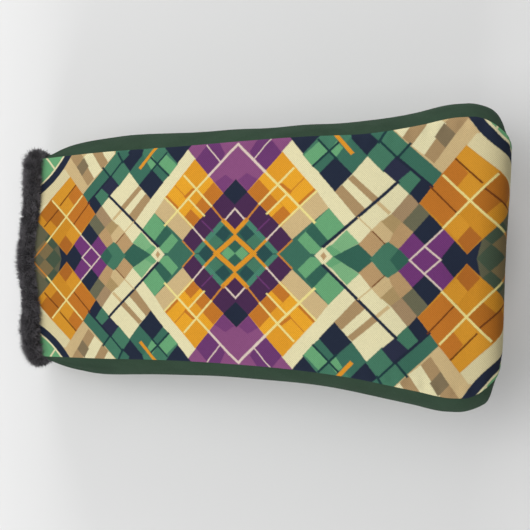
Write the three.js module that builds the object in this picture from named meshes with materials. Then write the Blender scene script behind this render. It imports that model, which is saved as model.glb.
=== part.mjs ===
// Driver head cover: a padded sewn sleeve for a golf driver, lying on its back panel.
// Millimetres. +X runs from the mouth to the closed end, +Y to the left side, +Z up through the front.
// The origin is under the middle of the whole cover, on the surface that it lies on.
import * as THREE from 'three';

// Driving dimensions
const HEM_X = -123;                 // edge of the outer cloth at the mouth
const END_X = 128.5;                // side seam at the closed end
const END_DOME = 3;                 // how far the closed end's seam bows out at mid-height
const MOUTH_TOP_Z = 72;             // front seam's height at the mouth
const HEAD_TOP_Z = 119;             // front seam's height over the club head
const FULL_DEPTH_X = 75;            // the front seam is at its full height from here on
const BOTTOM_Z = 9;                 // back seam's height
const MOUTH_BOTTOM_Z = 20;          // back seam's height at the mouth
const MOUTH_RISE_X = -85;           // the back seam lifts between here and the mouth
const CORNER_R = 20;                // turn of the seam at the closed end
const GUSSET_BULGE = 10.5;          // how far a gusset swells past its seams in the middle
const GUSSET_BULGE_END = 12.5;      // and near the closed end
const GUSSET_RISE = 45;             // length over which the swelling grows from the mouth
const END_ROUNDING = 30;            // length over which the swelling fades at the closed end
const FRONT_CROWN_MOUTH = 13;       // rise of a panel's middle over its seams
const FRONT_CROWN = 9;
const END_CROWN = 3.5;
const BACK_CROWN_MOUTH = 14;
const BACK_FLAT = 0.45;             // middle share of the back panel that lies flat

// Seam half-width along the cover, as [x, half-width]
const HALF_WIDTHS = [
  [-123, 53.8], [-90, 56.2], [-45, 57.2], [-13, 58.6], [20, 60.6], [53, 63.6], [80, 67.3], [104, 71.4],
];
const END_NARROWING = 4.4;          // the panels lose this half-width as they turn over the end

// Layers, measured inward from the outer surface
const CLOTH = 1.2;
const GAP = 0.3;
const FOAM = 4;
const PLUSH = 4;
const GUSSET_GAP = 0.5;
const GUSSET_CLOTH = 1.4;
const TUCK = 0.2;                   // the gusset's edge sits this far in from the panel's edge
const SEAM_CHANNEL = 4.6;           // room kept for the seam allowance beside the padding
const END_SEAM_ROOM = 2.4;          // and on each side of the seam across the closed end
const THREAD_R = 0.7;
const THREAD_DEPTH = 3.3;
const THREAD_INSET = 3.2;
const END_THREAD_ROOM = 8.6;        // from the ends of the closed end's thread to the side seams

// Mouth
const LIP_FRONT_X = -135;
const LIP_RADIAL = 6.5;             // half thickness of the rolled lip across the mouth's edge
const LIP_INSET = 3;                // the lip's centre line lies this far inside the mouth's outline
const LIP_THREAD_INSET = 5.5;       // the seam thread's ring inside the mouth's outline
const LIP_THREAD_X = HEM_X + 2;
const LINING_X = -119;              // the lining starts here, behind the lip
const MOUTH_HALF_W = 55.5;
const MOUTH_HALF_D = 39.5;
const MOUTH_Z = 45.5;
const MOUTH_POWER = 3.2;            // superellipse exponent of the mouth
const ELASTIC_X = [-117, -107];
const ELASTIC = 2;
const ELASTIC_EDGE_ROOM = 12;       // between the elastic and the seams above and below it

// Mesh density
const RUN_STEPS = 13;
const CORNER_STEPS = 5;
const END_STEPS = 3;
const THREAD_SIDES = 6;
const ACROSS_HALF = [0, 0.24, 0.45, 0.64, 0.81, 0.92, 1];
const ACROSS = [...ACROSS_HALF.slice(1).map((share) => -share).reverse(), ...ACROSS_HALF];
const GUSSET_ROWS = 8;
const MOUTH_STEPS = 44;

const MATERIALS = {
  print: { color: 0xb98b4a, roughness: 0.85, metalness: 0 },
  gusset: { color: 0x334b3a, roughness: 0.8, metalness: 0 },
  foam: { color: 0xd8d4c4, roughness: 0.95, metalness: 0 },
  plush: { color: 0x2f2f31, roughness: 0.98, metalness: 0 },
  lip: { color: 0x3a3a3c, roughness: 0.98, metalness: 0 },
  elastic: { color: 0x1c1c1c, roughness: 0.7, metalness: 0 },
  thread: { color: 0x26352b, roughness: 0.6, metalness: 0 },
};

const cover = new THREE.Group();

const lerp = THREE.MathUtils.lerp;
const clamp01 = (value) => THREE.MathUtils.clamp(value, 0, 1);
const smooth = (value) => THREE.MathUtils.smoothstep(value, 0, 1);

function addPiece(name, geometry, look) {
  const mesh = new THREE.Mesh(geometry, new THREE.MeshStandardMaterial(MATERIALS[look]));
  mesh.name = name;
  cover.add(mesh);
}

// Half-width of the panels at x, eased between the listed widths and narrowing round the closed end
const widthCurve = new THREE.SplineCurve(HALF_WIDTHS.map(([x, w]) => new THREE.Vector2(x, w)));
const widthSamples = widthCurve.getPoints(200);
function halfWidth(x) {
  const next = widthSamples.findIndex((point) => point.x >= x);
  if (next === -1) {
    const past = (x - HALF_WIDTHS.at(-1)[0]) / (END_X - HALF_WIDTHS.at(-1)[0]);
    return HALF_WIDTHS.at(-1)[1] - END_NARROWING * Math.min(past, 1) ** 2;
  }
  const after = widthSamples[next];
  const before = widthSamples[Math.max(next - 1, 0)];
  const share = after.x === before.x ? 0 : (x - before.x) / (after.x - before.x);
  return lerp(before.y, after.y, share);
}

// Heights of the front and back seams before they turn down at the closed end
const frontZ = (x) => lerp(MOUTH_TOP_Z, HEAD_TOP_Z, smooth((x - HEM_X) / (FULL_DEPTH_X - HEM_X)));
const backZ = (x) => lerp(MOUTH_BOTTOM_Z, BOTTOM_Z, smooth((x - HEM_X) / (MOUTH_RISE_X - HEM_X)));
const END_MID_Z = (HEAD_TOP_Z + BOTTOM_Z) / 2;
const END_HALF_STRAIGHT = (HEAD_TOP_Z - BOTTOM_Z) / 2 - CORNER_R;
const endDome = (z) => END_DOME * (1 - Math.min(Math.abs(z - END_MID_Z) / END_HALF_STRAIGHT, 1) ** 2);

// One seam line in side view, from the mouth to the middle of the closed end. sign is 1 for the front
// seam and -1 for the back seam. Each station holds its place, outward normal, width and crown.
function seamLine(sign) {
  const height = sign > 0 ? frontZ : backZ;
  const endHeight = sign > 0 ? HEAD_TOP_Z : BOTTOM_Z;
  const mouthCrown = sign > 0 ? FRONT_CROWN_MOUTH : BACK_CROWN_MOUTH;
  const headCrown = sign > 0 ? FRONT_CROWN : BOTTOM_Z;
  const cornerX = END_X - CORNER_R;
  const places = [];
  const addRunPlace = (x) => {
    const share = smooth((x - HEM_X) / (MOUTH_RISE_X - HEM_X));
    places.push({ x, z: height(x), crown: lerp(mouthCrown, headCrown, share) });
  };
  addRunPlace(HEM_X);
  addRunPlace(LINING_X);
  for (let i = 1; i < RUN_STEPS; i += 1) addRunPlace(lerp(HEM_X, cornerX, i / RUN_STEPS));
  for (let i = 0; i <= CORNER_STEPS; i += 1) {
    const turn = (i / CORNER_STEPS) * Math.PI / 2;
    places.push({
      x: cornerX + CORNER_R * Math.sin(turn),
      z: endHeight - sign * CORNER_R * (1 - Math.cos(turn)),
      crown: lerp(headCrown, END_CROWN, i / CORNER_STEPS),
    });
  }
  const straightZ = endHeight - sign * CORNER_R;
  const paddingEndZ = END_MID_Z + sign * END_SEAM_ROOM;
  for (let i = 1; i <= END_STEPS; i += 1) {
    const z = lerp(straightZ, paddingEndZ, i / END_STEPS);
    places.push({ x: END_X + endDome(z), z, crown: END_CROWN });
  }
  places.push({ x: END_X + END_DOME, z: END_MID_Z + sign * GAP / 2, crown: END_CROWN });
  return places.map((place, i) => {
    const before = places[Math.max(i - 1, 0)];
    const after = places[Math.min(i + 1, places.length - 1)];
    const along = new THREE.Vector2(after.x - before.x, after.z - before.z).normalize();
    const normal = new THREE.Vector2(-sign * along.y, sign * along.x);
    if (i < 2) normal.set(0, sign);
    if (i === places.length - 1) normal.set(1, 0);
    return { ...place, normal, width: halfWidth(place.x) };
  });
}
const seams = { front: seamLine(1), back: seamLine(-1) };

// How much of a panel's crown is reached at a share of its half-width
const frontCrown = (share) => 1 - share ** 2;
const backCrown = (share) => 1 - clamp01((Math.abs(share) - BACK_FLAT) / (1 - BACK_FLAT)) ** 2;

// A closed solid between two grids of points with the same rows and columns
function shellBetween(outer, inner) {
  const rows = outer.length;
  const columns = outer[0].length;
  const positions = [...outer.flat(), ...inner.flat()].flatMap((point) => point.toArray());
  const top = (r, c) => r * columns + c;
  const under = (r, c) => rows * columns + r * columns + c;
  const indices = [];
  const quad = (a, b, c, d) => indices.push(a, b, c, a, c, d);
  for (let r = 0; r < rows - 1; r += 1) {
    for (let c = 0; c < columns - 1; c += 1) {
      quad(top(r, c), top(r + 1, c), top(r + 1, c + 1), top(r, c + 1));
      quad(under(r, c), under(r, c + 1), under(r + 1, c + 1), under(r + 1, c));
    }
    quad(top(r, 0), under(r, 0), under(r + 1, 0), top(r + 1, 0));
    quad(top(r, columns - 1), top(r + 1, columns - 1), under(r + 1, columns - 1), under(r, columns - 1));
  }
  for (let c = 0; c < columns - 1; c += 1) {
    quad(top(0, c), top(0, c + 1), under(0, c + 1), under(0, c));
    quad(top(rows - 1, c), under(rows - 1, c), under(rows - 1, c + 1), top(rows - 1, c + 1));
  }
  return closedGeometry(positions, indices);
}

// Makes the geometry and turns its faces outward
function closedGeometry(positions, indices) {
  const corner = (i) => new THREE.Vector3().fromArray(positions, 3 * i);
  let volume = 0;
  for (let i = 0; i < indices.length; i += 3) {
    const [a, b, c] = [corner(indices[i]), corner(indices[i + 1]), corner(indices[i + 2])];
    volume += a.dot(b.cross(c));
  }
  const outward = volume > 0 ? indices : [...indices].reverse();
  const geometry = new THREE.BufferGeometry();
  geometry.setAttribute('position', new THREE.Float32BufferAttribute(positions, 3));
  geometry.setIndex(outward);
  geometry.computeVertexNormals();
  return geometry;
}

// One layer of a front or back panel, from depth near to depth far under the outer surface
function panelLayer(side, near, far, sideTrim, stations) {
  const crownShare = side === 'front' ? frontCrown : backCrown;
  const grid = (depth) => stations.map((station) => ACROSS.map((across) => {
    const reach = station.width - sideTrim;
    const y = THREE.MathUtils.clamp(across * station.width, -reach, reach);
    const out = station.crown * crownShare(y / station.width) - depth;
    return new THREE.Vector3(station.x + station.normal.x * out, y, station.z + station.normal.y * out);
  }));
  return shellBetween(grid(near), grid(far));
}

// The outer face of a gusset over a point of its side view
function gussetY(x, z) {
  const middle = (frontZ(x) + backZ(x)) / 2;
  const halfDepth = (frontZ(x) - backZ(x)) / 2;
  const height = clamp01(1 - ((z - middle) / halfDepth) ** 2);
  const rise = 1 - (1 - clamp01((x - HEM_X - 2) / GUSSET_RISE)) ** 2.5;
  const fade = 1 - (1 - clamp01((END_X + endDome(z) - x) / END_ROUNDING)) ** 2;
  const bulge = lerp(GUSSET_BULGE, GUSSET_BULGE_END, smooth(x / END_X));
  return halfWidth(x) - TUCK + bulge * height * rise * fade;
}

// One layer of a gusset. sideSign is 1 on the left and -1 on the right.
function gussetLayer(sideSign, near, far, edgeInset, firstStation) {
  const lastCorner = RUN_STEPS + 1 + CORNER_STEPS;
  const columns = [];
  for (let i = firstStation; i <= lastCorner; i += 1) {
    const edges = ['front', 'back'].map((side) => {
      const { x, z, normal } = seams[side][i];
      return new THREE.Vector2(x - normal.x * edgeInset, z - normal.y * edgeInset);
    });
    columns.push({ top: edges[0], bottom: edges[1], end: i === lastCorner });
  }
  const grid = (depth) => columns.map(({ top, bottom, end }) => {
    const points = [];
    for (let row = 0; row <= GUSSET_ROWS; row += 1) {
      const share = row / GUSSET_ROWS;
      const z = lerp(bottom.y, top.y, share);
      const x = lerp(bottom.x, top.x, share) + (end ? endDome(z) : 0);
      points.push(new THREE.Vector3(x, sideSign * (gussetY(x, z) - depth), z));
    }
    return points;
  });
  return shellBetween(grid(near), grid(far));
}

// A thread along a list of points
function threadAlong(points) {
  const path = new THREE.CatmullRomCurve3(points, false, 'centripetal');
  const section = new THREE.Shape();
  for (let side = 0; side < THREAD_SIDES; side += 1) {
    const turn = (side / THREAD_SIDES) * 2 * Math.PI;
    const place = [THREAD_R * Math.cos(turn), THREAD_R * Math.sin(turn)];
    if (side === 0) section.moveTo(...place);
    else section.lineTo(...place);
  }
  section.closePath();
  return new THREE.ExtrudeGeometry(section, {
    extrudePath: path,
    steps: Math.round(points.length * 1.5),
    bevelEnabled: false,
  });
}

function sideSeamPoints(side, sideSign) {
  return seams[side].slice(2, -1).map(({ x, z, normal, width }) => new THREE.Vector3(
    x - normal.x * THREAD_DEPTH,
    sideSign * (width - THREAD_INSET),
    z - normal.y * THREAD_DEPTH,
  ));
}

// The mouth's outline, moved in by inset
function mouthPoint(angle, inset) {
  const bend = (value) => Math.sign(value) * Math.abs(value) ** (2 / MOUTH_POWER);
  const y = (MOUTH_HALF_W - inset) * bend(Math.cos(angle));
  const z = (MOUTH_HALF_D - inset) * bend(Math.sin(angle));
  return new THREE.Vector2(y, MOUTH_Z + z);
}

// A ring of oval section carried round the mouth, between frontX and backX
function mouthRing(frontX, backX, inset, radial, section) {
  const centreX = (frontX + backX) / 2;
  const halfX = (backX - frontX) / 2;
  const positions = [];
  const indices = [];
  for (let i = 0; i < MOUTH_STEPS; i += 1) {
    const angle = (i / MOUTH_STEPS) * 2 * Math.PI;
    for (let j = 0; j < section; j += 1) {
      const turn = (j / section) * 2 * Math.PI;
      const place = mouthPoint(angle, inset - radial * Math.cos(turn));
      positions.push(centreX + halfX * Math.sin(turn), place.x, place.y);
      const a = i * section + j;
      const b = i * section + ((j + 1) % section);
      const c = ((i + 1) % MOUTH_STEPS) * section + ((j + 1) % section);
      const d = ((i + 1) % MOUTH_STEPS) * section + j;
      indices.push(a, b, c, a, c, d);
    }
  }
  return closedGeometry(positions, indices);
}

// An elastic band behind the end of a gusset
function elasticBand(sideSign) {
  const near = GUSSET_CLOTH + GUSSET_GAP;
  const grid = (depth) => ELASTIC_X.map((x) => {
    const [bottom, top] = [backZ(x) + ELASTIC_EDGE_ROOM, frontZ(x) - ELASTIC_EDGE_ROOM];
    const points = [];
    for (let row = 0; row <= GUSSET_ROWS; row += 1) {
      const z = lerp(bottom, top, row / GUSSET_ROWS);
      points.push(new THREE.Vector3(x, sideSign * (gussetY(x, z) - depth), z));
    }
    return points;
  });
  return shellBetween(grid(near), grid(near + ELASTIC));
}

// Panels: outer cloth, padding and lining
const foamNear = CLOTH + GAP;
const plushNear = foamNear + FOAM + GAP;
for (const side of ['front', 'back']) {
  const padded = seams[side].slice(2, -1);
  const lined = seams[side].slice(1);
  addPiece(`${side}_panel`, panelLayer(side, 0, CLOTH, 0, seams[side]), 'print');
  addPiece(`${side}_padding`, panelLayer(side, foamNear, foamNear + FOAM, SEAM_CHANNEL, padded), 'foam');
  addPiece(`${side}_lining`, panelLayer(side, plushNear, plushNear + PLUSH, SEAM_CHANNEL, lined), 'plush');
}

// Gussets: outer cloth, padding, lining and the elastic at the mouth
const gussetFoamNear = GUSSET_CLOTH + GUSSET_GAP;
const gussetPlushNear = gussetFoamNear + FOAM + GUSSET_GAP;
for (const [hand, sideSign] of [['left', 1], ['right', -1]]) {
  addPiece(`${hand}_gusset`, gussetLayer(sideSign, 0, GUSSET_CLOTH, foamNear, 0), 'gusset');
  addPiece(
    `${hand}_padding`,
    gussetLayer(sideSign, gussetFoamNear, gussetFoamNear + FOAM, plushNear, 3),
    'foam',
  );
  addPiece(
    `${hand}_lining`,
    gussetLayer(sideSign, gussetPlushNear, gussetPlushNear + PLUSH, plushNear + PLUSH + GAP, 1),
    'plush',
  );
  addPiece(`${hand}_mouth_elastic`, elasticBand(sideSign), 'elastic');
  for (const side of ['front', 'back']) {
    addPiece(`${side}_${hand}_seam_thread`, threadAlong(sideSeamPoints(side, sideSign)), 'thread');
  }
}

// Seam across the closed end, behind the meeting edges of the two panels
const endSeam = seams.front.at(-1);
const endSeamReach = endSeam.width - END_THREAD_ROOM;
const endSeamPoints = [-1, -0.5, 0, 0.5, 1].map((across) => {
  const y = across * endSeamReach;
  const out = endSeam.crown * frontCrown(y / endSeam.width) - CLOTH - GAP - THREAD_R;
  return new THREE.Vector3(endSeam.x + out, y, END_MID_Z);
});
addPiece('end_seam_thread', threadAlong(endSeamPoints), 'thread');

// The plush rolled over the hem, and the thread that holds it there
addPiece('mouth_lip', mouthRing(LIP_FRONT_X, HEM_X - GAP, LIP_INSET, LIP_RADIAL, 12), 'lip');
addPiece(
  'mouth_seam_thread',
  mouthRing(LIP_THREAD_X - THREAD_R, LIP_THREAD_X + THREAD_R, LIP_THREAD_INSET, THREAD_R, THREAD_SIDES),
  'thread',
);

export default cover;
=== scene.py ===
import math

import bpy
import numpy as np
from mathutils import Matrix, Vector


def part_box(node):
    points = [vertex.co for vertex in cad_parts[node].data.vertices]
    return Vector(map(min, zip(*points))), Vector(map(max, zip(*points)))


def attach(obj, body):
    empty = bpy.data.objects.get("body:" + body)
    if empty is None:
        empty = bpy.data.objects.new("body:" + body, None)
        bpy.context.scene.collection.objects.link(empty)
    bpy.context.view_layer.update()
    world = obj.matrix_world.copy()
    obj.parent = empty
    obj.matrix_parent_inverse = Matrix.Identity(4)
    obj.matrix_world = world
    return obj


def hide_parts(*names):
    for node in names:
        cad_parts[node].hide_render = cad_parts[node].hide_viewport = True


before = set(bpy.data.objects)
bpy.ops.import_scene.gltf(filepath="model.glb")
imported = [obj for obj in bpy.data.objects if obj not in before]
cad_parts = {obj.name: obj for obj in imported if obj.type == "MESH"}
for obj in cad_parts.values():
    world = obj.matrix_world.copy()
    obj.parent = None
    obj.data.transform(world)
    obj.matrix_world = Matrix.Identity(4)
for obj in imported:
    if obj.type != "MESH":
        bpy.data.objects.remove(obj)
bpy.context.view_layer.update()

# Driver head cover lying on its back panel. Metres; +X runs from the mouth to the closed end, +Z up.
MM = 0.001

# ---- driving dimensions, from the frame
# A crown is how far a panel swells out between its two long seams.
FRONT_LOW, FRONT_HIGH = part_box("front_panel")
HEM_X = FRONT_LOW.x  # cut edge of the panels, at the mouth
END_CROWN = 0.8 * MM
END_DOME = 3 * MM  # swell of the whole closed end, seen from the side
END_X = FRONT_HIGH.x - 7.6 * MM  # side seam at the closed end
HEAD_CROWN = 9 * MM
HEAD_TOP_Z = FRONT_HIGH.z - HEAD_CROWN  # front seam over the club head
BOTTOM_Z = HEAD_CROWN  # back seam
MOUTH_TOP_Z = 72 * MM  # the same two seams at the mouth
MOUTH_BOTTOM_Z = 20 * MM
MOUTH_TOP_CROWN = 13 * MM
MOUTH_BOTTOM_CROWN = 14 * MM
FULL_DEPTH_X = 75 * MM  # the front seam has risen to its highest here
MOUTH_RISE_X = -85 * MM  # the back seam has come down to its lowest here
CORNER_R = 18 * MM  # reach of the rounded corner at the closed end
CORNER_POWER = 3.0  # 2 would be a round corner; higher is fuller
BACK_FLAT = 0.45  # middle share of the back panel that lies flat
END_MID_Z = (HEAD_TOP_Z + BOTTOM_Z) / 2
END_NARROWING = 12 * MM  # how much narrower each side gets round that corner
GUSSET_BULGE = 10.3 * MM
GUSSET_BULGES = [(8.6 * MM, -80 * MM, 90 * MM), (9.6 * MM, 30 * MM, 60 * MM)]  # next bulge, its start and run
GUSSET_END_FILL = {1: 0.45, -1: 0.6}  # share of the narrowing made up by the left and right gusset
GUSSET_RISE = 40 * MM  # the gusset reaches its full bulge this far from the mouth
GUSSET_SHOULDER = 30 * MM  # and is fully round this far in from its seams
END_SHOULDER = {1: 10 * MM, -1: 5.5 * MM}  # the left end is the rounder of the two
TUCK = 0.2 * MM  # the gusset's edge lies this far inside the panels' edge
SEAM_INSET = 1.5 * MM  # and this far under their seam line

# Layers: thicknesses, gaps, where each starts at the mouth and how far it stays from the seams
CLOTH = 1.2 * MM
GUSSET_CLOTH = 1.4 * MM
FOAM = 4 * MM
PLUSH = 4 * MM
SEAM_GAP = 0.3 * MM
LAYER_END_GAP = 0.6 * MM
SEAM_CHANNEL = 4.6 * MM
LINING_X = -122.5 * MM  # the lining starts under the hem, the padding behind it
PADDING_X = -117 * MM
GUSSET_PADDING = (9 * MM, 1.9 * MM, -104 * MM)  # inset from the seams, depth and start
GUSSET_LINING = (8.7 * MM, 6.2 * MM, LINING_X)

# Softness of the stuffed cloth
PANEL_SOFT = 1.1 * MM
GUSSET_SOFT = 0.9 * MM
SOFT_EDGE = 14 * MM  # a panel's unevenness fades out this near its long seams
SEAM_ROLL = 0.8 * MM  # the panels' edges turn in by this much
ROLL_REACH = 1.1 * MM
PUCKER_PITCH = 9.5 * MM  # puckers beside the long seams
PUCKER_PLACE = 3.5 * MM  # their middle's distance from the seam
GATHER_PITCH = 8.5 * MM  # gathers of the gussets at the mouth
GATHER_REACH = 15 * MM
FLOOR_CLEARANCE = 0.3 * MM

# Half-width of the panels and the sideways drift of the soft cover, along the cover
HALF_WIDTHS = [(-123, 53.8), (-90, 56.0), (-45, 57.5), (-13, 59.1), (20, 61.2), (53, 64.0), (80, 68.8),
               (98, 72.6), (107, 73.0)]
DRIFT = [(-125, -1.3), (-95, -0.2), (-45, 0.9), (20, 0.7), (66, -1.6), (100, -1.5), (132, -0.6)]
TWIST = 0.058  # the left side reaches further at the closed end
TWIST_X = -20 * MM  # the twist starts here
TWIST_RUN = 155 * MM  # and reaches TWIST this much further on


def smooth(value):
    value = np.clip(value, 0, 1)
    return value * value * (3 - 2 * value)


def blend(low, high, share):
    return low + (high - low) * share


def run_along(a, b):
    """Distance from the start of a line to each of its points. a and b are their coordinates."""
    return np.concatenate([[0], np.cumsum(np.hypot(np.diff(a), np.diff(b)))])


def unit(vectors):
    return vectors / np.linalg.norm(vectors, axis=1, keepdims=True)


def smooth_through(points, x):
    """A smooth curve through a few points, in millimetres, for an array of x in metres."""
    px, py = np.array(points, float).T
    slope = np.gradient(py, px)
    x = np.clip(np.asarray(x) / MM, px[0], px[-1])
    i = np.clip(np.searchsorted(px, x) - 1, 0, len(px) - 2)
    step = px[i + 1] - px[i]
    t = (x - px[i]) / step
    rise = (2 * t**3 - 3 * t**2 + 1) * py[i] + (3 * t**2 - 2 * t**3) * py[i + 1]
    lean = (t**3 - 2 * t**2 + t) * slope[i] + (t**3 - t**2) * slope[i + 1]
    return (rise + lean * step) * MM


def end_narrowing(x):
    """How much the cover's half-width shrinks past the last point of HALF_WIDTHS."""
    corner_x = HALF_WIDTHS[-1][0] * MM
    return END_NARROWING * np.clip((np.asarray(x) - corner_x) / (END_X - corner_x), 0, 1) ** 1.6


def half_width(x):
    return smooth_through(HALF_WIDTHS, x) - end_narrowing(x)


def front_z(x):
    """Height of the front seam along the cover."""
    return blend(MOUTH_TOP_Z, HEAD_TOP_Z, smooth((x - HEM_X) / (FULL_DEPTH_X - HEM_X)))


def back_z(x):
    """Height of the back seam along the cover."""
    return blend(MOUTH_BOTTOM_Z, BOTTOM_Z, smooth((x - HEM_X) / (MOUTH_RISE_X - HEM_X)))


def corner_curve(count):
    """Side view of the rounded corner at the closed end, evenly spaced: the run along x and the drop."""
    turn = np.linspace(0, math.pi / 2, 1000)
    run = CORNER_R * np.sin(turn) ** (2 / CORNER_POWER)
    drop = CORNER_R * (1 - np.cos(turn) ** (2 / CORNER_POWER))
    along = run_along(run, drop)
    even = np.linspace(0, along[-1], count)
    return np.interp(even, along, run), np.interp(even, along, drop)


def end_dome(z):
    """How far the closed end swells past its side seam at a height."""
    straight = (HEAD_TOP_Z - BOTTOM_Z) / 2 - CORNER_R
    return END_DOME * (1 - np.minimum(np.abs(z - END_MID_Z) / straight, 1) ** 2)


def settle(points):
    """The soft cover's slight drift and twist, applied to every piece alike."""
    points = np.array(points, float)
    x, y = points[..., 0].copy(), points[..., 1].copy()
    twist = TWIST * np.clip((x - TWIST_X) / TWIST_RUN, 0, 1.1) ** 3
    points[..., 0] = x + twist * y
    points[..., 1] = y + smooth_through(DRIFT, x)
    return points


def ripple(a, b, seed):
    """Soft unevenness between -1 and 1 from a few crossed waves. a and b are in metres."""
    rng = np.random.default_rng(seed)
    waves = 7
    total = 0
    for _ in range(waves):
        angle, length, phase = rng.uniform(0, math.pi), rng.uniform(0.022, 0.075), rng.uniform(0, math.tau)
        total = total + np.sin(math.tau * (a * math.cos(angle) + b * math.sin(angle)) / length + phase)
    return total / waves


# ---- shape of the panels
RUN_SAMPLES, CORNER_SAMPLES, END_SAMPLES = 600, 120, 100  # before a seam line is spaced out evenly


def seam_line(sign, rows, start_x=HEM_X, end_gap=SEAM_GAP / 2):
    """Side view of one long seam, evenly spaced: the front seam for sign 1, the back seam for -1."""
    height, level = (front_z, HEAD_TOP_Z) if sign > 0 else (back_z, BOTTOM_Z)
    mouth_crown = MOUTH_TOP_CROWN if sign > 0 else MOUTH_BOTTOM_CROWN
    corner_x = END_X - CORNER_R
    run_x = np.linspace(start_x, corner_x, RUN_SAMPLES, endpoint=False)
    run_crown = blend(mouth_crown, HEAD_CROWN, smooth((run_x - HEM_X) / (MOUTH_RISE_X - HEM_X)))
    run, drop = corner_curve(CORNER_SAMPLES)
    arc_round = smooth(np.linspace(0, 1.4, CORNER_SAMPLES))
    arc_crown = blend(HEAD_CROWN, END_CROWN, arc_round)
    end_z = np.linspace(level - sign * CORNER_R, END_MID_Z + sign * end_gap, END_SAMPLES)[1:]
    line = {
        "x": np.concatenate([run_x, corner_x + run, END_X + end_dome(end_z)]),
        "z": np.concatenate([height(run_x), level - sign * drop, end_z]),
        "crown": np.concatenate([run_crown, arc_crown, np.full(end_z.shape, END_CROWN)]),
        "round": np.concatenate([np.zeros(RUN_SAMPLES), arc_round, np.ones(end_z.shape)]),
    }
    along = run_along(line["x"], line["z"])
    even = np.linspace(0, along[-1], rows)
    line = {key: np.interp(even, along, values) for key, values in line.items()}
    line["along"] = even + (start_x - HEM_X)
    line["width"] = half_width(line["x"])
    tangent = np.stack([np.gradient(line["x"]), np.gradient(line["z"])])
    tangent /= np.hypot(*tangent)
    line["nx"], line["nz"] = -sign * tangent[1], sign * tangent[0]
    line["nx"][0], line["nz"][0] = 0, sign
    line["nx"][-1], line["nz"][-1] = 1, 0
    return line


def panel_surface(side, line, across, depth, trim=0.0, roll=0.0, soft=0.0):
    """Points of a panel at a depth under its outer surface, and their places on the cloth."""
    width = line["width"][:, None]
    y = np.clip(across[None, :] * width, trim - width, width - trim)
    share = np.abs(y) / width
    if side == "front":
        crown = 1 - share ** blend(2.2, 4.0, line["round"][:, None])
    else:
        crown = 1 - np.clip((share - BACK_FLAT) / (1 - BACK_FLAT), 0, 1) ** 2
    to_seam = width - np.abs(y)
    along = line["along"][:, None]
    to_end = line["along"][-1] - along
    out = line["crown"][:, None] * crown - depth
    out = out - roll * (np.exp(-to_seam / ROLL_REACH) + np.exp(-to_end / ROLL_REACH))
    lying = 1 if side == "front" else 1 - smooth((1.3 * BACK_FLAT - share) / (0.3 * BACK_FLAT))
    out = out + soft * ripple(along, y, 11 if side == "front" else 12) * smooth(to_seam / SOFT_EDGE) * lying
    pucker = np.sin(math.tau * along / PUCKER_PITCH + 2.5 * np.sin(along / (31 * MM)))
    out = out + 0.35 * soft * pucker * np.exp(-((to_seam - PUCKER_PLACE) / PUCKER_PLACE) ** 2)
    x = line["x"][:, None] + line["nx"][:, None] * out
    z = line["z"][:, None] + line["nz"][:, None] * out
    return settle(np.stack([x, y + 0 * out, z], axis=-1)), along + 0 * y, y


def gusset_rows(run_rows, corner_rows, inset, start_x):
    """Matching points of the top and bottom edges of a gusset in side view, out to the closed end."""
    corner_x = END_X - CORNER_R
    run_x = np.linspace(start_x, corner_x, run_rows, endpoint=False)
    run, drop = corner_curve(corner_rows)
    shrink = 1 - inset / CORNER_R
    x = np.concatenate([run_x, corner_x + run * shrink])
    drop = inset + np.concatenate([np.zeros(run_rows), drop * shrink])
    level = np.minimum(x, corner_x)
    return (x, front_z(level) - drop), (x, back_z(level) + drop)


def gusset_out(hand, x, z):
    """Distance of the gusset's outer face from the middle, over a point of its side view."""
    corner_x = END_X - CORNER_R
    past = np.clip((x - corner_x) / CORNER_R, 0, 1)
    drop = CORNER_R * (1 - (1 - past**CORNER_POWER) ** (1 / CORNER_POWER))
    top, bottom = front_z(np.minimum(x, corner_x)), back_z(np.minimum(x, corner_x))
    shoulder = np.minimum(GUSSET_SHOULDER, 0.5 * (top - bottom))
    near_top = (top - drop - SEAM_INSET - z) / shoulder
    near_bottom = (z - bottom - drop - SEAM_INSET) / shoulder
    near_end = (END_X + end_dome(z) - SEAM_INSET - x) / END_SHOULDER[hand]
    bulge = GUSSET_BULGE
    for further, start, run in GUSSET_BULGES:
        bulge = blend(bulge, further, smooth((x - start) / run))
    bulge = bulge + GUSSET_END_FILL[hand] * end_narrowing(x)
    for near, power in ((near_top, 1), (near_bottom, 1), (near_end, 0.5)):
        bulge = bulge * (1 - (1 - np.clip(near, 0, 1)) ** 2.2) ** power
    rise = 1 - (1 - np.clip((x - HEM_X) / GUSSET_RISE, 0, 1)) ** 2.5
    return half_width(x + SEAM_INSET * past) - TUCK + bulge * rise


def gusset_surface(hand, run_rows, corner_rows, columns, inset, depth, start_x=HEM_X, soft=0.0):
    """Points of one gusset layer at a depth inward from its outer face."""
    (top_x, top_z), (bottom_x, bottom_z) = gusset_rows(run_rows, corner_rows, inset, start_x)
    share = (1 - np.cos(np.linspace(0, math.pi, columns))) / 2
    x = blend(bottom_x[:, None], top_x[:, None], share)
    z = blend(bottom_z[:, None], top_z[:, None], share)
    x = x + end_dome(z) * smooth((x - END_X + CORNER_R) / (CORNER_R - inset))
    middle = np.sin(math.pi * share)
    from_mouth = x - HEM_X
    gathers = np.sin(math.tau * z / GATHER_PITCH + 1.5 * np.sin(from_mouth / (9 * MM)))
    gathers = 1.2 * gathers * np.exp(-from_mouth / GATHER_REACH)
    y = gusset_out(hand, x, z) - depth
    y = y + soft * (ripple(x, z, 21 if hand > 0 else 22) + gathers) * middle
    return settle(np.stack([x, hand * y, z], axis=-1)), np.stack([x, z], axis=-1)


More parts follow.
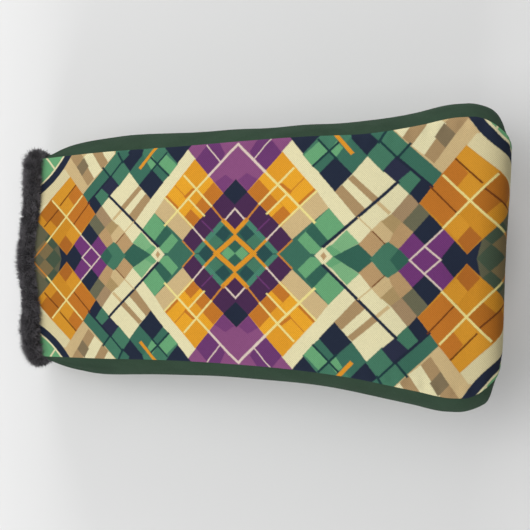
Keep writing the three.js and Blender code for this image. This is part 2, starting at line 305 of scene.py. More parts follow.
# ---- mesh helpers
def new_piece(name, verts, faces, material, smooth_faces=True):
    """A mesh object from lists of vertices and faces."""
    mesh = bpy.data.meshes.new(name)
    mesh.from_pydata([tuple(v) for v in verts], [], faces)
    mesh.validate()
    if smooth_faces:
        mesh.shade_smooth()
    piece = bpy.data.objects.new(name.replace(" ", "_"), mesh)
    bpy.context.collection.objects.link(piece)
    mesh.materials.append(material)
    return piece


def grid_faces(rows, columns, offset=0, flip=False, wrap=False):
    """Four-sided faces over a grid of vertices. wrap joins the last column to the first."""
    faces = []
    for r in range(rows - 1):
        for c in range(columns if wrap else columns - 1):
            d = (c + 1) % columns
            quad = (offset + r * columns + c, offset + (r + 1) * columns + c,
                    offset + (r + 1) * columns + d, offset + r * columns + d)
            faces.append(quad[::-1] if flip else quad)
    return faces


def add_uv(piece, name, values):
    """A named UV map with one value for each vertex."""
    mesh = piece.data
    layer = mesh.uv_layers.new(name=name)
    index = np.empty(len(mesh.loops), int)
    mesh.loops.foreach_get("vertex_index", index)
    layer.data.foreach_set("uv", np.asarray(values, float)[index].ravel())


def layer_piece(name, outer, inner, material, maps):
    """A closed sheet between two grids of points. maps holds UV maps given over the outer grid."""
    rows, columns = outer.shape[:2]
    count = rows * columns
    middle = outer[rows // 2, columns // 2]
    normal = np.cross(outer[-1, columns // 2] - middle, outer[rows // 2, -1] - middle)
    flip = np.dot(normal, middle - inner[rows // 2, columns // 2]) < 0
    faces = grid_faces(rows, columns, 0, flip) + grid_faces(rows, columns, count, not flip)
    rim = [r * columns for r in range(rows)]
    rim += [(rows - 1) * columns + c for c in range(1, columns)]
    rim += [r * columns + columns - 1 for r in range(rows - 2, -1, -1)]
    rim += list(range(columns - 2, 0, -1))
    for i, a in enumerate(rim):
        b = rim[(i + 1) % len(rim)]
        faces.append((a, a + count, b + count, b) if flip else (b, b + count, a + count, a))
    piece = new_piece(name, np.concatenate([outer.reshape(-1, 3), inner.reshape(-1, 3)]), faces, material)
    for map_name, values in maps.items():
        values = np.asarray(values).reshape(-1, 2)
        add_uv(piece, map_name, np.concatenate([values, values]))
    return piece


# ---- materials
class Shader:
    """A material's node tree, built with short calls."""

    def __init__(self, name):
        self.material = bpy.data.materials.new(name)
        self.material.use_nodes = True
        self.tree = self.material.node_tree
        self.surface = next(n for n in self.tree.nodes if n.type == "BSDF_PRINCIPLED")

    def node(self, kind, inputs=(), **settings):
        node = self.tree.nodes.new(kind)
        for key, value in settings.items():
            setattr(node, key, value)
        for key, value in dict(inputs).items():
            self.put(node.inputs[key], value)
        return node

    def put(self, socket, value):
        if isinstance(value, bpy.types.NodeSocket):
            self.tree.links.new(value, socket)
        else:
            socket.default_value = value

    def math(self, operation, *values, clamp=False):
        node = self.node("ShaderNodeMath", enumerate(values), operation=operation, use_clamp=clamp)
        return node.outputs[0]

    def times(self, a, b):
        return self.math("MULTIPLY", a, b)

    def plus(self, a, b, clamp=False):
        return self.math("ADD", a, b, clamp=clamp)

    def place(self):
        return self.node("ShaderNodeTexCoord").outputs["Object"]

    def uv(self, name):
        return self.node("ShaderNodeUVMap", uv_map=name).outputs[0]

    def vector(self, operation, *values):
        node = self.node("ShaderNodeVectorMath", enumerate(values), operation=operation)
        return node.outputs["Value" if operation in ("DOT_PRODUCT", "DISTANCE") else "Vector"]

    def mix(self, factor, low, high, kind="MIX"):
        inputs = {0: factor, 6: low, 7: high}
        node = self.node("ShaderNodeMix", inputs, data_type="RGBA", blend_type=kind, clamp_factor=True)
        return node.outputs[2]

    def noise(self, vector, scale, detail=2.0, rough=0.5):
        inputs = {"Vector": vector, "Scale": scale, "Detail": detail, "Roughness": rough}
        return self.node("ShaderNodeTexNoise", inputs).outputs["Fac"]

    def bump(self, height, distance, strength):
        node = self.node("ShaderNodeBump", {"Height": height, "Distance": distance, "Strength": strength})
        self.put(self.surface.inputs["Normal"], node.outputs[0])

    def finish(self, colour, **sockets):
        self.put(self.surface.inputs["Base Color"], colour)
        for name, value in sockets.items():
            self.put(self.surface.inputs[name.replace("_", " ")], value)
        return self.material


def rgb(red, green, blue):
    """A screen colour out of 255, as the linear colour that a shader takes."""
    linear = [((c / 255 + 0.055) / 1.055) ** 2.4 if c > 10 else c / 255 / 12.92 for c in (red, green, blue)]
    return (*linear, 1.0)


# ---- the print
# One quarter of the print, in design units measured from its centre; the rest is mirrored. Each patch
# is an ink and the corners of a convex shape, painted in order from bottom to top.
INK = {
    "cream": (232, 224, 180), "ivory": (222, 210, 165), "sun": (235, 167, 44), "amber": (226, 156, 42),
    "gold": (218, 152, 46), "rust": (196, 119, 42), "umber": (178, 106, 40), "saddle": (181, 110, 36),
    "honey": (209, 143, 41), "brown": (112, 58, 24), "orange": (224, 150, 42), "apricot": (205, 132, 52),
    "straw": (238, 224, 146), "pale": (224, 205, 192), "navy": (36, 44, 62), "slate": (44, 48, 70),
    "spruce": (52, 99, 84), "teal": (61, 110, 92), "jade": (70, 122, 98), "mint": (106, 168, 119),
    "sea": (74, 132, 110), "plum": (74, 44, 80), "grape": (108, 58, 112), "violet": (114, 57, 118),
    "orchid": (139, 80, 127), "mulberry": (120, 65, 118), "tan": (173, 144, 103), "sand": (209, 183, 134),
    "clay": (188, 154, 109), "taupe": (166, 139, 105), "olive": (108, 107, 84), "bark": (132, 116, 88),
    "ink": (32, 60, 64), "moss": (98, 98, 76), "khaki": (126, 110, 76), "fern": (72, 88, 70),
    "leaf": (126, 180, 130), "pine": (42, 78, 78), "bronze": (176, 150, 103),
}
PATCHES = [
    # purples, and the orange block beside the centre
    ("orchid", (0, 60), (13, 60), (52, 110), (46, 130), (0, 130)),
    ("mulberry", (3, 72), (13, 61), (22, 71), (11, 78)), ("grape", (19, 92), (30, 80), (43, 97), (32, 110)),
    ("grape", (17, 93), (33, 112), (22, 116), (13, 100)), ("navy", (0, 45), (13, 59), (0, 72.5)),
    ("plum", (0, 22), (24, 48), (13, 60), (0, 47)), ("plum", (31, 13), (44, 27), (24, 48), (11, 34)),
    ("plum", (41, 0), (55, 14), (44, 27), (30, 12)), ("spruce", (0, 0), (42, 0), (11, 33), (0, 21)),
    ("jade", (11, 12), (20, 4), (30, 14), (20, 24)), ("pine", (5, 20), (11, 12), (20, 20), (13, 28)),
    ("pine", (21, 0), (38, 0), (31, 8), (28, 10)), ("sea", (37, 1), (42, 1), (13, 33), (10, 30)),
    ("mint", (0.5, 0), (13, 0), (7, 6)), ("sand", (55, 14), (86, 44), (75, 60), (44, 27)),
    ("sun", (44, 27), (75, 60), (44, 97), (13, 60)), ("rust", (44, 27), (53, 37), (23, 71), (13, 60)),
    ("sun", (42, 49), (45, 46), (35, 36), (32, 39)), ("amber", (42, 49), (49, 57), (40, 66), (33, 59)),
    ("amber", (40, 66), (55, 83), (44, 97), (29, 79)), ("rust", (61, 45), (75, 60), (73, 62), (60, 49)),
    ("rust", (42, 67), (52, 58), (53, 60), (45, 67)),
    # greens between the orange block and the cream band
    ("teal", (42, 0), (78, 0), (100, 27), (86, 44), (55, 14)),
    ("mint", (60, 14), (71, 2), (75, 2), (81, 8), (67, 22)),
    ("spruce", (67, 22), (80, 8), (87, 14), (74, 30)), ("mint", (74, 30), (87, 14), (100, 27), (86, 44)),
    ("spruce", (88, 0), (122, 0), (122, 3), (112, 14), (97, 5)),
    ("mint", (83, 7), (89, 0), (97, 5), (90, 11)), ("leaf", (89, 10), (97, 5), (111, 14), (101, 25)),
    ("cream", (75, 0), (89, 0), (82, 8)), ("clay", (80, 0), (84, 0), (82, 3)),
    # cream diamond with its tan strips
    ("tan", (110, 37), (117, 44), (97, 66), (91, 61)),
    ("tan", (123, 51.5), (126.5, 55), (106, 75.5), (102.5, 72.5)),
    ("sand", (135, 41), (136.5, 42.5), (127, 52), (125.5, 50.5)),
    ("clay", (112, 13), (122, 3), (132, 14), (122, 26)),
    ("sand", (132, 14), (141, 23), (130, 35), (122, 26)),
    # beige and purple blocks toward the closed end
    ("jade", (121, 0), (137, 0), (144, 9), (136, 16), (132, 14)), ("spruce", (137, 0), (153, 0), (144, 10)),
    ("bronze", (130, 34), (140, 23), (147, 33), (138, 41)),
    ("clay", (136, 16), (144, 10), (156, 24), (146, 34), (139, 23)),
    ("olive", (146, 34), (156, 24), (170, 41), (159, 50)),
    ("taupe", (138, 41), (146, 34), (159, 50), (152, 59)),
    ("violet", (144, 10), (153, 0), (178, 0), (190, 17), (180, 30)),
    ("violet", (144, 10), (168, 10), (155, 24)), ("navy", (155, 24), (165, 13), (180, 29), (170, 42)),
    ("navy", (177, 0), (206, 0), (216, 13), (210, 19), (190, 18)),
    ("moss", (206, 0), (250, 0), (250, 64), (210, 19)), ("fern", (206, 0), (228, 0), (216, 12)),
    ("khaki", (216, 12), (228, 0), (240, 12), (228, 24)),
    ("fern", (210, 18), (216, 12), (228, 24), (222, 31)),
    # greens and navy along the seam
    ("navy", (52, 110), (63, 95), (84, 120), (74, 130), (36, 130)),
    ("jade", (63, 95), (79, 77), (118, 94), (130, 130), (92, 130)),
    ("jade", (118, 94), (141, 91), (152, 102), (140, 118), (130, 130), (120, 130)),
    ("mint", (64, 94), (71, 85), (84, 98), (77, 107)), ("teal", (72, 84), (79, 77), (92, 92), (86, 98)),
    ("mint", (86, 98), (92, 92), (98, 100), (92, 107)),
    ("teal", (92, 92), (105, 77), (118, 94), (104, 111)), ("navy", (91, 61), (105, 77), (91, 92), (78, 77)),
    ("navy", (118, 94), (128, 107), (119, 120), (104, 117), (105, 110)),
    ("teal", (121, 114), (128, 107), (134, 117), (128, 126)),
    ("jade", (118, 94), (131, 79), (141, 91), (128, 107)),
    ("teal", (141, 91), (169, 64), (178, 75), (152, 102)),
    ("slate", (131, 80), (142, 69), (153, 79), (141, 92)),
    ("jade", (142, 69), (152, 58), (163, 71), (153, 79)),
    ("navy", (152, 59), (159, 50), (170, 64), (162, 72)),
    # tan strips at the corner
    ("sand", (152, 102), (178, 75), (206, 109), (190, 130), (140, 130), (138, 118)),
    ("tan", (163, 93), (171, 85), (200, 122), (190, 130), (175, 115)),
    ("cream", (153, 102), (163, 93), (180, 119), (168, 130)),
    ("tan", (146, 110), (153, 102), (170, 127), (158, 130)),
    ("cream", (139, 118), (146, 110), (157, 127), (144, 130)),
    ("bark", (172, 108), (180, 98), (188, 108), (179, 119)),
    ("sand", (171, 85), (178, 76), (205, 109), (197, 122), (187, 107)),
    # orange block at the closed end, and the cream beyond it
    ("ivory", (196, 97), (220, 73), (250, 58), (250, 90), (204, 108)),
    ("honey", (160, 50), (198, 5), (241, 51), (220, 74), (196, 98)),
    ("umber", (190, 17), (198, 5), (208, 17), (199, 28)),
    ("gold", (180, 29), (190, 17), (199, 28), (190, 40)),
    ("rust", (160, 50), (180, 29), (198, 50), (178, 75)),
    ("gold", (198, 50), (207, 62), (197, 74), (188, 62)),
    ("rust", (188, 62), (197, 74), (188, 87), (178, 75)),
    ("gold", (208, 63), (220, 73), (196, 97), (188, 87)),
    ("saddle", (199, 50), (211, 38), (222, 49), (210, 61)),
    ("saddle", (210, 61), (225, 45), (235, 57), (220, 73)),
]
# Thin lines across the patches: ink, start, end and width
LINES = [
    ("orange", (0, 16.3), (19, -0.5), 4.6), ("orange", (0, 20.5), (11, 32), 4.2),
    ("apricot", (11, 32), (24, 48), 1.7), ("straw", (24, 48), (54.5, 81.5), 1.9),
    ("orange", (18, 0), (31, 13.5), 2.6), ("pale", (31, 13.5), (43, 27), 1.5),
    ("straw", (43, 27), (75, 60), 1.9), ("apricot", (41.5, 0), (54, 13), 1.5),
    ("straw", (74, 31), (28, 79.5), 2.2), ("pale", (28, 79.5), (0, 108.5), 2.4),
    ("pale", (0, 44), (9, 34), 1.6), ("straw", (31, 38.5), (48, 56), 1.7),
    ("pale", (17, 92), (32, 111), 1.1), ("grape", (22, 22), (33, 33), 1.3),
    ("rust", (52, 59), (64, 72), 0.9), ("cream", (83, 7.5), (101, 26), 1.6),
    ("navy", (82, 9), (142, 69), 2.8), ("brown", (132, 14.5), (122, 25.5), 1.1),
    ("sand", (122, 26), (111, 37), 1.2), ("ink", (72, 84), (96, 109), 2.0),
    ("ink", (76, 109), (92, 91), 2.0), ("ink", (128, 107), (142, 91), 2.0),
    ("ink", (127, 106), (134, 118), 2.2), ("ink", (142, 91), (152, 103), 2.2),
    ("navy", (142, 91), (169, 64), 2.6), ("orange", (89, 116.5), (104.5, 97), 3.6),
    ("brown", (190, 39), (168, 64), 1.3), ("brown", (208, 65), (188, 87), 1.5),
    ("brown", (229, 41), (210, 60), 1.5), ("pale", (152, 0), (178, 26), 1.5),
    ("straw", (179, 28), (219, 71.5), 1.9), ("straw", (178.5, 73), (226, 20.5), 1.9),
    ("apricot", (226, 20.5), (246, 0), 1.7), ("pale", (164, 12), (177, 0), 1.5),
    ("cream", (219, 112), (231, 127), 2.0),
]
# Round bands about a point past the corner of the quarter: ink, inner radius and outer radius
BANDS = [("mint", 0, 93), ("cream", 92.4, 94.6), ("navy", 94.6, 103.6)]
BAND_CENTRE = (290, 170)
HALF_REPEAT = 250
# By the distance from the hem in mm: the design unit that lies there, the width in mm of one unit across
# the cover, and how far the print's middle is to the side.
PRINT_ALONG = [(0, -243), (41, -143), (84, -55), (128, 25), (170, 96), (211, 162), (238, 204), (253, 226),
               (305, 288)]
PRINT_UNIT = [(0, 0.432), (41, 0.470), (84, 0.510), (128, 0.542), (170, 0.560), (211, 0.586), (245, 0.600),
              (305, 0.61)]
PRINT_DRIFT = [(0, -1.4), (60, -0.5), (110, -0.2), (160, -0.8), (215, -1.0), (250, -0.4), (305, 0)]
PRINT_LEAN = 0.45  # share of the crown's lean that the print follows
CANVAS_PITCH = 1.1 * MM  # across two threads
PAINTED_PRINT_SHADE = 0.80  # painted shade: the printed colours are darkened evenly to this share


def print_map(line, across, along, y):
    """The design coordinates of points on a panel, in hundreds of design units."""
    lean = line["nx"] * line["crown"] * (1 - line["round"])
    along = along + PRINT_LEAN * lean[:, None] * (1 - across[None, :] ** 2)
    u = smooth_through(PRINT_ALONG, along) / MM
    width = smooth_through(PRINT_UNIT, along)
    return np.stack([u, (y - smooth_through(PRINT_DRIFT, along)) / width], axis=-1) / 100


def printed_cloth():
    """The print, its canvas weave and its slightly uneven dye, darkened by painted shade."""
    s = Shader("printed cloth")
    spot = s.place()
    waver = s.node("ShaderNodeTexNoise", {"Vector": spot, "Scale": 900.0, "Detail": 1.0}).outputs["Color"]
    waver = s.vector("MULTIPLY", s.vector("SUBTRACT", waver, (0.5, 0.5, 0.5)), (0.8, 0.8, 0))
    place = s.vector("ADD", s.vector("MULTIPLY", s.uv("print"), (100, 100, 0)), waver)
    axes = s.node("ShaderNodeSeparateXYZ", {0: place}).outputs
    folded = s.math("PINGPONG", s.math("ABSOLUTE", axes[0]), HALF_REPEAT)
    across = s.math("ABSOLUTE", axes[1])
    point = s.node("ShaderNodeCombineXYZ", {0: folded, 1: across, 2: 1.0}).outputs[0]
    inks = {name: rgb(*screen) for name, screen in INK.items()}
    colour = inks["cream"]
    for ink, *corners in PATCHES:
        colour = s.mix(inside(s, point, corners), colour, inks[ink])
    reach = s.vector("DISTANCE", point, (*BAND_CENTRE, 1.0))
    for ink, low, high in BANDS:
        middle, half = (low + high) / 2, (high - low) / 2
        inked = s.math("SUBTRACT", half, s.math("ABSOLUTE", s.math("SUBTRACT", reach, middle)))
        colour = s.mix(s.plus(inked, 0.5, clamp=True), colour, inks[ink])
    for ink, start, end, width in LINES:
        colour = s.mix(inside(s, point, line_corners(start, end, width), 0.5), colour, inks[ink])
    turns = math.tau / CANVAS_PITCH
    weave = s.vector("MULTIPLY", s.uv("weave"), (turns, turns, 0))
    yarns = s.node("ShaderNodeSeparateXYZ", {0: weave}).outputs
    warp = s.math("SINE", yarns[0])
    weft = s.math("SINE", yarns[1])
    twill = s.math("SINE", s.plus(yarns[0], yarns[1]))
    plain = s.times(s.times(warp, weft), 0.5)
    crossing = s.plus(plain, s.times(twill, 0.5))
    soft = s.noise(spot, 40.0, 3.0)
    fine = s.noise(spot, 1500.0, 2.0)
    grain = s.times(s.plus(fine, -0.5), 0.22)
    # painted shade between the threads: the colour is darker where the weave's crossing pattern is low
    tone = s.plus(s.times(crossing, 0.20), grain)
    tone = s.plus(tone, s.times(s.plus(soft, -0.5), 0.10))
    # painted shade: the print's colour is multiplied by an even darkening, together with the thread shade,
    # grain and mottle
    colour = s.mix(1.0, colour, s.plus(tone, PAINTED_PRINT_SHADE), "MULTIPLY")
    relief = s.plus(s.times(crossing, 0.5), s.times(fine, 0.8))
    s.bump(relief, 0.06 * MM, 0.7)
    return s.finish(colour, Roughness=0.9, Specular_IOR_Level=0.08)


def on_fold(a, b):
    """Whether an edge lies on a line where the print is mirrored, so that it isn't an edge of the colour."""
    return any(a[0] == b[0] == fold for fold in (0, HALF_REPEAT)) or a[1] == b[1] == 0


def inside(s, point, corners, spread=1.0):
    """A factor that is 1 inside a convex shape in the print and 0 a design unit outside it."""
    turning = sum(a[0] * b[1] - b[0] * a[1] for a, b in zip(corners, corners[1:] + corners[:1]))
    if turning < 0:
        corners = corners[::-1]
    nearest = None
    for a, b in zip(corners, corners[1:] + corners[:1]):
        if on_fold(a, b):
            continue
        length = math.hypot(b[0] - a[0], b[1] - a[1])
        nx, ny = (a[1] - b[1]) / length, (b[0] - a[0]) / length
        reach = s.vector("DOT_PRODUCT", point, (nx, ny, spread - nx * a[0] - ny * a[1]))
        nearest = reach if nearest is None else s.math("MINIMUM", nearest, reach)
    return s.plus(nearest, 0.0, clamp=True)


def line_corners(start, end, width):
    """Corners of a line's rectangle, with square caps so that mirrored lines meet on the folds."""
    length = math.hypot(end[0] - start[0], end[1] - start[1])
    ax, ay = (end[0] - start[0]) / length * width / 2, (end[1] - start[1]) / length * width / 2
    return [(start[0] - ax - ay, start[1] - ay + ax), (end[0] + ax - ay, end[1] + ay + ax),
            (end[0] + ax + ay, end[1] + ay - ax), (start[0] - ax + ay, start[1] - ay - ax)]


# ---- the other materials
FLOOR_TONE = 0.765


def woven(name, base, dark, pitch, relief, **sockets):
    """A plain cloth with a fine diagonal rib. pitch and relief are in metres."""
    s = Shader(name)
    spot = s.place()
    weave = s.uv("weave")
    rib = s.math("SINE", s.vector("DOT_PRODUCT", weave, (math.tau / pitch, math.tau / pitch, 0)))
    cross = s.math("SINE", s.vector("DOT_PRODUCT", weave, (-math.pi / pitch, math.pi / pitch, 0)))
    fine = s.noise(spot, 1600.0, 2.0)
    soft = s.noise(spot, 55.0, 3.0)
    height = s.plus(s.plus(s.times(rib, 0.4), s.times(cross, 0.25)), fine)
    shade = s.plus(s.times(height, 0.35), s.times(soft, 0.5), clamp=True)
    s.bump(height, relief, 0.8)
    return s.finish(s.mix(shade, dark, base), **sockets)


def plush(name, base, dark, scale):
    """A short dense pile."""
    s = Shader(name)
    spot = s.place()
    tufts = s.node("ShaderNodeTexVoronoi", {"Vector": spot, "Scale": scale}).outputs["Distance"]
    fine = s.noise(spot, scale * 2.5, 4.0, 0.7)
    height = s.math("SUBTRACT", fine, s.times(tufts, 0.8))
    s.bump(height, 1.2 * MM, 0.9)
    return s.finish(s.mix(s.plus(height, 0.45, clamp=True), dark, base),
                    Roughness=0.95, Sheen_Weight=0.5, Sheen_Roughness=0.4, Specular_IOR_Level=0.1)


def fur():
    """Strands that are darker at the root. An attribute says how dark each is as a whole."""
    s = Shader("plush fur")
    reach = s.node("ShaderNodeAttribute", attribute_name="reach").outputs["Fac"]
    shade = s.node("ShaderNodeAttribute", attribute_name="shade").outputs["Fac"]
    colour = s.mix(reach, rgb(60, 57, 60), rgb(130, 127, 131))
    colour = s.mix(s.times(shade, 0.9), colour, rgb(58, 56, 59))
    return s.finish(colour, Roughness=0.8, Specular_IOR_Level=0.15)


def foam():
    """Pale foam with open cells."""
    s = Shader("foam")
    cells = s.node("ShaderNodeTexVoronoi", {"Vector": s.place(), "Scale": 900.0}).outputs["Distance"]
    s.bump(cells, 0.2 * MM, 0.8)
    return s.finish(s.mix(cells, rgb(186, 180, 166), rgb(222, 217, 204)), Roughness=0.9)


def ribbed_elastic():
    """Black elastic with ribs along it."""
    s = Shader("elastic")
    rib_pitch = 1.2 * MM
    rib = s.math("SINE", s.vector("DOT_PRODUCT", s.uv("weave"), (math.tau / rib_pitch, 0, 0)))
    fine = s.noise(s.place(), 2200.0, 2.0)
    s.bump(s.plus(rib, fine), 0.2 * MM, 0.8)
    return s.finish(s.mix(s.plus(s.times(rib, 0.3), 0.5), rgb(22, 22, 24), rgb(52, 52, 55)), Roughness=0.7)


def thread(name, base, dark):
    """Two-ply sewing thread. Its UV map runs along the thread in metres, and once round it."""
    s = Shader(name)
    ply_pitch, plies = 0.7 * MM, 2
    turns = (math.tau / ply_pitch, math.tau * plies, 0)
    ply = s.math("SINE", s.vector("DOT_PRODUCT", s.uv("weave"), turns))
    s.bump(ply, 0.08 * MM, 0.8)
    return s.finish(s.mix(s.plus(s.times(ply, 0.5), 0.5), dark, base), Roughness=0.6, Sheen_Weight=0.2)


def floor_paper():
    """Plain pale paper."""
    s = Shader("backdrop")
    grain = s.noise(s.place(), 14.0, 3.0)
    tone = s.plus(s.times(grain, 0.012), FLOOR_TONE)
    return s.finish(s.node("ShaderNodeCombineXYZ", {0: tone, 1: tone, 2: tone}).outputs[0],
                    Roughness=0.95, Specular_IOR_Level=0.0)


MATERIALS = {
    "print": printed_cloth(),
    "gusset": woven("gusset cloth", rgb(61, 83, 66), rgb(30, 48, 35), 0.7 * MM, 0.09 * MM,
                    Roughness=0.9, Specular_IOR_Level=0.08),
    "lining": plush("plush lining", rgb(70, 70, 74), rgb(16, 16, 18), 700.0),
    "lip": plush("lip backing", rgb(58, 58, 62), rgb(14, 14, 16), 500.0),
    "fur": fur(),
    "foam": foam(),
    "elastic": ribbed_elastic(),
    "thread": thread("side seam thread", rgb(70, 92, 76), rgb(30, 46, 36)),
    "dark thread": thread("mouth seam thread", rgb(60, 60, 64), rgb(20, 20, 22)),
}


# ---- camera, floor and light
CAMERA_SPOT = (0.0011, -0.0052, 0.964)  # straight above the cover, looking down
CAMERA_LENS = 111
FLOOR_REACH = 3.0
SOFTBOX_SIDE = 0.8
SOFTBOX_DISTANCE = 1.5
# Name, azimuth and elevation in degrees, and power
SOFTBOXES = [("key", 150, 65, 5.2), ("mouth side", 180, 65, 6.6), ("left fill", 97, 25, 12.6),
             ("right fill", 263, 25, 12.6)]
WORLD_LIGHT = 0.23


def camera():
    data = bpy.data.cameras.new("camera")
    data.lens = CAMERA_LENS
    seen = bpy.data.objects.new("camera", data)
    seen.location = CAMERA_SPOT
    bpy.context.collection.objects.link(seen)
    bpy.context.scene.camera = seen


def light(name, azimuth, elevation, power):
    """A square softbox facing the cover."""
    azimuth, elevation = math.radians(azimuth), math.radians(elevation)
    data = bpy.data.lights.new(name, "AREA")
    data.shape, data.size, data.energy = "SQUARE", SOFTBOX_SIDE, power
    lamp = bpy.data.objects.new(name, data)
    level = math.cos(elevation)
    away = Vector((level * math.cos(azimuth), level * math.sin(azimuth), math.sin(elevation)))
    lamp.location = SOFTBOX_DISTANCE * away
    lamp.rotation_euler = (-away).to_track_quat("-Z", "Y").to_euler()
    bpy.context.collection.objects.link(lamp)


def studio():
    bpy.context.scene.view_settings.view_transform = "Standard"
    corners = [(FLOOR_REACH * x, FLOOR_REACH * y, 0) for x, y in ((-1, -1), (1, -1), (1, 1), (-1, 1))]
    floor = new_piece("floor", corners, [(0, 1, 2, 3)], floor_paper(), False)
    for softbox in SOFTBOXES:
        light(*softbox)
    world = bpy.data.worlds.new("studio")
    bpy.context.scene.world = world
    world.use_nodes = True
    background = world.node_tree.nodes["Background"]
    background.inputs["Color"].default_value = (1.0, 1.0, 1.0, 1)
    background.inputs["Strength"].default_value = WORLD_LIGHT


# ---- pieces
PANEL_GRID = (240, 121)  # rows along the cover, points across
LAYER_GRID = (120, 61)
GUSSET_GRID = (190, 40, 81)  # rows along the side, rows round the end, points from seam to seam
GUSSET_LAYER_GRID = (90, 20, 41)


def shifted(points, distance, outward):
    """A grid moved along its own normals, on the side away from the direction outward."""
    along = np.gradient(points, axis=0)
    across = np.gradient(points, axis=1)
    normal = np.cross(along, across)
    normal /= np.maximum(np.linalg.norm(normal, axis=-1, keepdims=True), 1e-12)
    normal *= np.sign((normal * outward).sum(axis=-1, keepdims=True) + 1e-12)
    return points - normal * distance


def edge_dense(count):
    """Shares from -1 to 1, closer together toward both ends."""
    t = np.linspace(-1, 1, count)
    return np.sign(t) * (1 - (1 - np.abs(t)) ** 1.6)


def panels():
    for side, sign in (("front", 1), ("back", -1)):
        rows, columns = PANEL_GRID
        across = edge_dense(columns)
        line = seam_line(sign, rows)
        outer, along, y = panel_surface(side, line, across, 0, roll=SEAM_ROLL, soft=PANEL_SOFT)
        inner, _, _ = panel_surface(side, line, across, CLOTH, roll=SEAM_ROLL, soft=PANEL_SOFT)
        if side == "back":
            outer[..., 2] = np.maximum(outer[..., 2], FLOOR_CLEARANCE)
            inner[..., 2] = np.maximum(inner[..., 2], FLOOR_CLEARANCE + CLOTH)
        maps = {"print": print_map(line, across, along, y), "weave": np.stack([along, y], axis=-1)}
        piece = layer_piece(f"{side} panel", outer, inner, MATERIALS["print"], maps)
        dress(piece, f"{side}_panel")
        padding(side, *panel_layer(side, sign, PADDING_X, CLOTH + SEAM_GAP, FOAM))
        lining(side, *panel_layer(side, sign, LINING_X, CLOTH + 2 * SEAM_GAP + FOAM, PLUSH))


def panel_layer(side, sign, start_x, depth, thickness):
    """The outer and inner points of a layer behind a front or back panel."""
    rows, columns = LAYER_GRID
    line = seam_line(sign, rows, start_x, end_gap=LAYER_END_GAP)
    outer, _, _ = panel_surface(side, line, edge_dense(columns), depth, SEAM_CHANNEL)
    inner, _, _ = panel_surface(side, line, edge_dense(columns), depth + thickness, SEAM_CHANNEL)
    return outer, inner


def gussets():
    for name, hand in (("left", 1), ("right", -1)):
        outward = np.array([0, hand, 0.0])
        outer, flat = gusset_surface(hand, *GUSSET_GRID, SEAM_INSET, 0, soft=GUSSET_SOFT)
        inner = shifted(outer, GUSSET_CLOTH, outward)
        piece = layer_piece(f"{name} gusset", outer, inner, MATERIALS["gusset"], {"weave": flat})
        dress(piece, f"{name}_gusset")
        outer, _ = gusset_surface(hand, *GUSSET_LAYER_GRID, *GUSSET_PADDING)
        padding(name, outer, shifted(outer, FOAM, outward))
        outer, _ = gusset_surface(hand, *GUSSET_LAYER_GRID, *GUSSET_LINING)
        lining(name, outer, shifted(outer, PLUSH, outward))


def padding(name, outer, inner):
    piece = layer_piece(f"{name} padding", outer, inner, MATERIALS["foam"], {})
    dress(piece, f"{name}_padding")


def lining(name, outer, inner):
    piece = layer_piece(f"{name} lining", outer, inner, MATERIALS["lining"], {})
    dress(piece, f"{name}_lining")


def dress(piece, node):
    """Put a piece under the root body, and hide the part of model.glb that it stands for."""
    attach(piece, "root")
    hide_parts(node)


# ---- mouth lip, elastics and threads
# The mouth's outline is a rounded oblong. An inset is measured inward from it.
MOUTH_HALF_W = 55.5 * MM
MOUTH_HALF_D = 39.5 * MM
MOUTH_Z = 45.5 * MM
MOUTH_POWER = 4.2  # 2 would be an ellipse; higher is squarer
# How far the soft lip sits along the cover, by the place across the mouth
LIP_SWAY = [(-58, 2.6), (-48, 1.2), (-41, 0.1), (-30, 1.1), (-18, 0.4), (-3, -1.0), (10, -0.3), (22, 1.0),
            (36, 1.9), (46, 1.4), (58, 1.9)]
LIP_X = HEM_X - 3.2 * MM  # middle of the lip's oval section
LIP_INSET = 2 * MM
LIP_HALF_X = 3.5 * MM  # half its width along the cover, and half its thickness
LIP_RADIAL = 4.6 * MM
LIP_GRID = (220, 28)  # points round the mouth, and round the section
STRANDS = 13500  # in each quarter of the lip
FUR_LENGTH = (1.6, 3.8)  # in millimetres
FUR_THICKNESS = (0.09, 0.17)  # from the middle to a corner, in millimetres
FUR_CLIPPED = 0.32  # how much shorter the fur is where it meets the hem
FUR_STRAY, FUR_TUFTING = 0.5, 0.55  # how strands lean, each on its own and in tufts
FUR_LUMPS, FUR_TONES = 0.22, 0.45  # how much length and darkness vary from place to place
TUFT_SIZE, LUMP_SIZE, TONE_SIZE = (3 * MM, 6 * MM), (14 * MM, 30 * MM), (4 * MM, 9 * MM)
FUR_LOW = 2 * MM  # no strand is rooted lower
LOWEST = 0.2 * MM  # no vertex of the lip is lower
ELASTIC_X = (-117 * MM, -107 * MM)
ELASTIC_CLOTH = 1.2 * MM
ELASTIC_DEPTH = 2.4 * MM  # from the gusset's outer face
ELASTIC_EDGE = 13 * MM  # room between the elastic and the long seams
ELASTIC_GRID = (30, 61)
THREAD_R = 0.6 * MM
THREAD_DEPTH = 3.3 * MM  # the side and end threads lie this far under the seam line
THREAD_INSET = 3.2 * MM  # and the side threads this far in from it
THREAD_GAP = 3 * MM  # and stop this short of the hem and of the closed end's seam
END_THREAD_INSET = 4 * MM
THREAD_POINTS, END_THREAD_POINTS = 700, 300
MOUTH_THREAD_R = 0.7 * MM
MOUTH_THREAD_X = HEM_X + 2 * MM
MOUTH_THREAD_INSET = 5.5 * MM
MOUTH_THREAD_GRID = (500, 8)


def mouth_point(angle, inset):
    """The mouth's rounded outline: y and z at an angle, moved in by inset."""
    c, s = np.cos(angle), np.sin(angle)
    y = (MOUTH_HALF_W - inset) * np.sign(c) * np.abs(c) ** (2 / MOUTH_POWER)
    z = MOUTH_Z + (MOUTH_HALF_D - inset) * np.sign(s) * np.abs(s) ** (2 / MOUTH_POWER)
    return y, z


